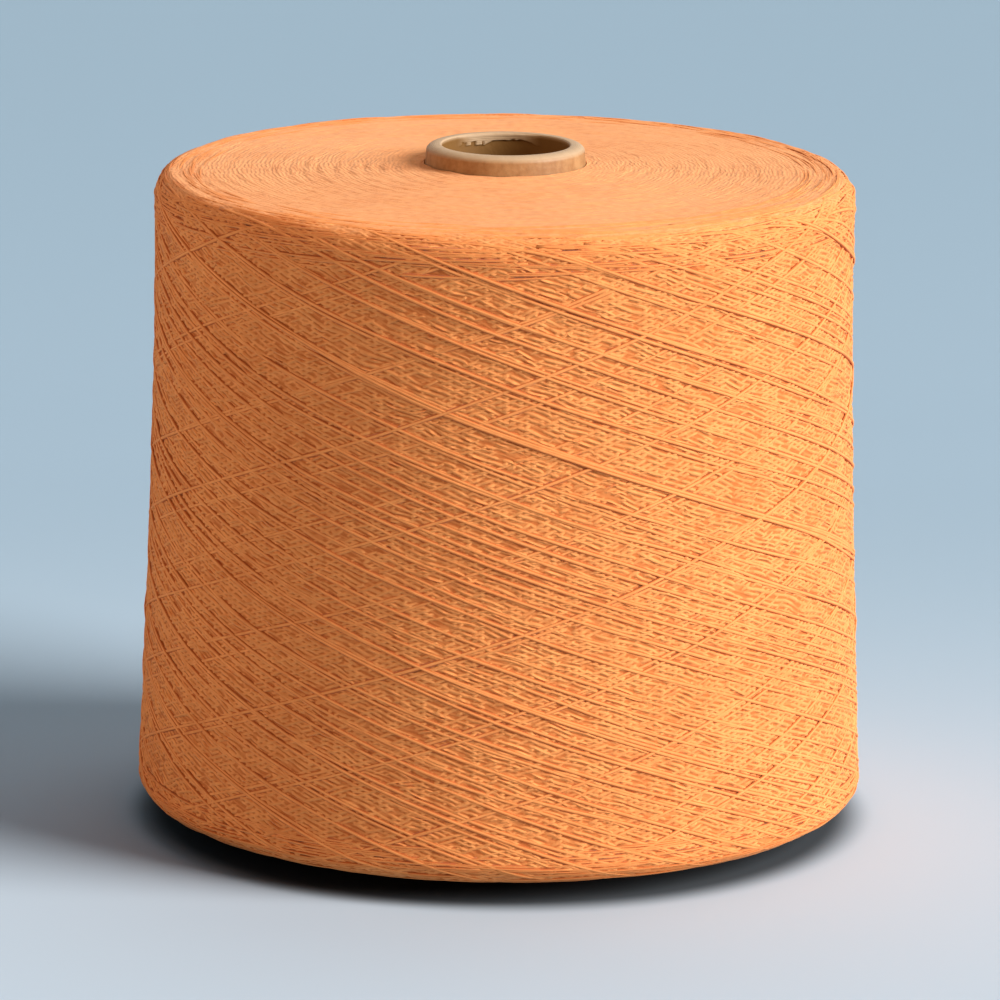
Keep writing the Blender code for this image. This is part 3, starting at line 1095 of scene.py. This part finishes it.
def paper_tube(settings):
    """The paper cone turned in fine steps: (points, faces, maps).

    Its half section is the outer line up from the base, a quarter ellipse, a flat and a small quarter ellipse
    over the rim, and the bore's line down. At the back the innermost paper layer has torn: it stands off the
    bore by its thickness down to a ragged line through random depths at uneven places round the cone.
    """
    steps, tears = 288, 110
    outside, inside = CONE_HEIGHT - RIM_OUTSIDE[1], CONE_HEIGHT - RIM_INSIDE[1]
    arc = np.linspace(0, math.pi / 2, 14)
    rim = cone_radius(outside) - RIM_OUTSIDE[0] * (1 - np.cos(arc))
    lip = cone_radius(inside) - CONE_WALL + RIM_INSIDE[0] * (1 - np.sin(arc))
    outer_z = np.linspace(BASE_EASING, outside, 30)[:-1]
    torn_z = np.linspace(inside, inside - FINE_REACH, 26)[1:]
    inner_z = np.concatenate([torn_z, np.linspace(PLAIN_TOP, BASE_EASING, 24)])
    radius = np.concatenate([cone_radius(outer_z), rim, lip, cone_radius(inner_z) - CONE_WALL])
    rounded = [outside + RIM_OUTSIDE[1] * np.sin(arc), inside + RIM_INSIDE[1] * np.cos(arc)]
    height = np.concatenate([outer_z, *rounded, inner_z])
    foot = cone_radius(0) - BASE_EASING, cone_radius(0) - CONE_WALL + BASE_EASING
    radius = np.concatenate([foot[:1], radius, foot[1:]])
    height = np.concatenate([[0.0], height, [0.0]])
    crest = 1 + len(outer_z) + len(arc)
    metres = np.pad(np.cumsum(np.hypot(np.diff(radius), np.diff(height))), (1, 0))
    down = metres[crest] - metres

    turn = np.arange(steps + 1) / steps
    rng = np.random.default_rng(settings.seed + 40)
    knots = np.sort(rng.random(tears))
    ragged = 2 * np.interp(turn, knots, rng.random(tears) ** 1.4, period=1)
    back = np.clip(np.cos(2 * math.pi * turn - settings.torn_side) * 6 - 4.5, 0, 1)
    depth = settings.torn_depth * (0.7 + 0.3 * ragged)
    above_tear = np.clip((depth + down[:, None]) / 0.0002, 0, 1)
    below_rim = np.clip((-down[:, None] - 0.0006) / 0.0003, 0, 1)
    layer = above_tear * below_rim * back
    out = radius[:, None] - settings.torn_layer * layer
    angle = 2 * math.pi * turn[:-1]
    ring = out[:, :-1] * np.cos(angle), out[:, :-1] * np.sin(angle), height[:, None]
    points = np.stack(np.broadcast_arrays(*ring), -1)
    rows = len(radius)
    i, j = np.meshgrid(np.arange(rows), np.arange(steps), indexing="ij")
    corner_i, corner_j = np.stack([i, i, i + 1, i + 1], -1), np.stack([j, j + 1, j + 1, j], -1)
    faces = (corner_i % rows * steps + corner_j % steps).reshape(-1, 4)
    share = np.append(np.interp(down, [down[-1], -0.008, 0.006, down[0]], [0.98, 0.7, 0.3, 0]), 1)
    place = np.stack([turn[corner_j], np.append(down, down[0])[corner_i]], -1).reshape(-1, 2)
    sheet = np.stack([turn[corner_j], share[corner_i]], -1).reshape(-1, 2)
    torn = np.stack([layer[corner_i % rows, corner_j % steps], 0.0 * corner_i], -1).reshape(-1, 2)
    return points.reshape(-1, 3), [faces], {"paper_place": place, "paper_torn": torn, "OFBake": sheet}


class YARN_OT_paper_cone(bpy.types.Operator):
    """Turn the paper cone in fine steps, with its torn inner layer"""

    bl_idname = "yarn_cone.paper_cone"
    bl_label = "Turn paper cone"

    def execute(self, context):
        settings = context.scene.yarn_cone
        piece = mesh_piece("paper_tube", *paper_tube(settings), paper_material(settings))
        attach(piece, ROOT)
        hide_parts("paper_cone")
        return {"FINISHED"}


# Places and widths of the two lamps, and what they point at
TOP_PLACE, TOP_SIZE = (0.3, 0.7, 1.3), 1.2
LEFT_PLACE, LEFT_SIZE = (-1.15, -0.65, 0.95), 0.9
PACKAGE_MIDDLE = (0, 0, 0.1)

# Sweep: where it starts to bend up, the radius of the bend, its reach to each side and its height
SWEEP_START = 0.45
SWEEP_BEND = 0.5
SWEEP_REACH = 4.0
SWEEP_HEIGHT = 3.0

# Where the floor's colours lie along the sweep, in metres back from 0.2 m in front of the cone; the bluish
# grey gets darker towards the back as painted falloff of light
SHADE_PLACES = (0.04, 0.58, 0.96)
SHADE_FRONT = 0.2

# Painted contact shadow on the floor under the package: its share of the floor's colour, and the width of its
# soft edge
CONTACT_SHADOW_SHARE = 0.12
CONTACT_SHADOW_EDGE = 0.012

# Camera: place in metres, pitch and roll in radians, and focal length and sensor in millimetres
CAMERA_PLACE = (-0.00043, -1.6264, 0.4605)
CAMERA_PITCH = 0.22984
CAMERA_ROLL = 0.01106
CAMERA_LENS = 239.2
CAMERA_SENSOR = 36


class YARN_OT_stage(bpy.types.Operator):
    """Set the plain floor, the soft light and the camera"""

    bl_idname = "yarn_cone.stage"
    bl_label = "Set stage"

    def execute(self, context):
        stage = context.scene.yarn_stage
        add_sweep(stage)
        world = bpy.data.worlds.new("studio")
        world.use_nodes = True
        background = world.node_tree.nodes["Background"]
        background.inputs["Color"].default_value = (*stage.fill_shade, 1)
        background.inputs["Strength"].default_value = stage.fill_strength
        context.scene.world = world
        side, rise = stage.key_side, stage.key_rise
        ahead = Vector((math.cos(rise) * math.cos(side), -math.cos(rise) * math.sin(side), math.sin(rise)))
        key = add_lamp("key_light", "SUN", ahead, (0, 0, 0), stage.key_power)
        key.data.angle, key.data.color = stage.key_width, stage.key_shade
        top = add_lamp("top_light", "AREA", TOP_PLACE, PACKAGE_MIDDLE, stage.top_power)
        left = add_lamp("left_light", "AREA", LEFT_PLACE, PACKAGE_MIDDLE, stage.left_power)
        top.data.size, left.data.size = TOP_SIZE, LEFT_SIZE
        left.data.color = stage.left_shade
        package = bpy.data.collections.new("package")
        for item in context.scene.objects:
            if item.type == "MESH" and item.name != "sweep":
                package.objects.link(item)
        left.light_linking.receiver_collection = package
        add_camera()
        context.scene.view_settings.view_transform = "Standard"
        return {"FINISHED"}


def add_sweep(stage):
    """A floor that curves up into a backdrop: a line, a quarter circle and a line, drawn out along X."""
    turn = np.linspace(0, math.pi / 2, 24)
    end = SWEEP_START + SWEEP_BEND
    y = np.concatenate([[-SWEEP_REACH, 0], SWEEP_START + SWEEP_BEND * np.sin(turn), [end]])
    z = np.concatenate([[0, 0], SWEEP_BEND * (1 - np.cos(turn)), [SWEEP_HEIGHT]])
    x = np.linspace(-SWEEP_REACH, SWEEP_REACH, 3)
    points = np.stack(np.broadcast_arrays(x[None], y[:, None], z[:, None]), -1).reshape(-1, 3)
    i, j = np.meshgrid(np.arange(len(y) - 1), np.arange(2), indexing="ij")
    corner = i * 3 + j
    faces = np.stack([corner, corner + 1, corner + 4, corner + 3], -1).reshape(-1, 4)
    material, tree, shader = new_material("pale_sweep")
    split = node(tree, "ShaderNodeSeparateXYZ", [(0, own_place(tree))])
    ramp = node(tree, "ShaderNodeValToRGB", [(0, reckon(tree, "ADD", split.outputs["Y"], SHADE_FRONT))])
    ramp.color_ramp.interpolation = "EASE"
    # Painted falloff of light: the colours darken from the floor to the bend to the backdrop
    shades = stage.floor_shade, stage.bend_shade, stage.backdrop_shade
    for number, (place, shade) in enumerate(zip(SHADE_PLACES, shades)):
        stop = ramp.color_ramp.elements[number] if number < 2 else ramp.color_ramp.elements.new(place)
        stop.position, stop.color = place, (*shade, 1)
    flat = node(tree, "ShaderNodeCombineXYZ", [("X", split.outputs["X"]), ("Y", split.outputs["Y"])])
    out = node(tree, "ShaderNodeVectorMath", [(0, flat.outputs[0])], operation="LENGTH").outputs["Value"]
    # Painted contact shadow under the package
    edge = stage.contact_shadow_radius - CONTACT_SHADOW_EDGE, stage.contact_shadow_radius
    links = [("Value", out), ("From Min", edge[0]), ("From Max", edge[1]), ("To Min", CONTACT_SHADOW_SHARE)]
    near = node(tree, "ShaderNodeMapRange", links, interpolation_type="SMOOTHSTEP")
    links = [(0, ramp.outputs["Color"]), (1, near.outputs[0])]
    shaded = node(tree, "ShaderNodeVectorMath", links, operation="MULTIPLY")
    tree.links.new(shaded.outputs[0], shader.inputs["Base Color"])
    shader.inputs["Roughness"].default_value = 0.9
    shader.inputs["Specular IOR Level"].default_value = 0.1
    mesh_piece("sweep", points, [faces], {}, material)


def add_lamp(name, kind, place, target, power):
    """A lamp of a kind at a place, turned to its target."""
    data = bpy.data.lights.new(name, kind)
    data.energy = power
    lamp = bpy.data.objects.new(name, data)
    lamp.location = place
    lamp.rotation_euler = (Vector(target) - Vector(place)).to_track_quat("-Z", "Y").to_euler()
    bpy.context.scene.collection.objects.link(lamp)
    return lamp


def add_camera():
    """The camera stands far off on the photograph's line of sight, pitched down and rolled a little."""
    ahead = Vector((0, math.cos(CAMERA_PITCH), -math.sin(CAMERA_PITCH)))
    up = Vector((0, math.sin(CAMERA_PITCH), math.cos(CAMERA_PITCH)))
    right = Vector((1, 0, 0))
    x_axis = right * math.cos(CAMERA_ROLL) + up * math.sin(CAMERA_ROLL)
    y_axis = up * math.cos(CAMERA_ROLL) - right * math.sin(CAMERA_ROLL)
    data = bpy.data.cameras.new("camera")
    data.lens = CAMERA_LENS
    data.sensor_width = CAMERA_SENSOR
    data.clip_end = 50
    camera = bpy.data.objects.new("camera", data)
    camera.matrix_world = Matrix((x_axis, y_axis, -ahead)).transposed().to_4x4()
    camera.location = CAMERA_PLACE
    bpy.context.scene.collection.objects.link(camera)
    bpy.context.scene.camera = camera


class YARN_PT_panel(bpy.types.Panel):
    """Lists the steps that dress the cone of yarn"""

    bl_label = "Cone of yarn"
    bl_idname = "YARN_PT_panel"
    bl_space_type = "VIEW_3D"
    bl_region_type = "UI"
    bl_category = "Yarn cone"

    def draw(self, context):
        column = self.layout.column()
        for operator in OPERATORS:
            column.operator(operator.bl_idname)


OPERATORS = (
    YARN_OT_wound_body,
    YARN_OT_side_strands,
    YARN_OT_face_strands,
    YARN_OT_paper_cone,
    YARN_OT_stage,
)
CLASSES = (YarnConeSettings, YarnStageSettings, *OPERATORS, YARN_PT_panel)


def register():
    """Register the classes and hang both groups of settings on the scene."""
    for cls in CLASSES:
        bpy.utils.register_class(cls)
    bpy.types.Scene.yarn_cone = bpy.props.PointerProperty(type=YarnConeSettings)
    bpy.types.Scene.yarn_stage = bpy.props.PointerProperty(type=YarnStageSettings)


def unregister():
    """Take the settings and the classes away again."""
    del bpy.types.Scene.yarn_stage
    del bpy.types.Scene.yarn_cone
    for cls in reversed(CLASSES):
        bpy.utils.unregister_class(cls)


def main():
    """Dress the cone step by step."""
    register()
    bpy.ops.yarn_cone.wound_body()
    bpy.ops.yarn_cone.side_strands()
    bpy.ops.yarn_cone.face_strands()
    bpy.ops.yarn_cone.paper_cone()
    bpy.ops.yarn_cone.stage()


if __name__ == "__main__":
    main()
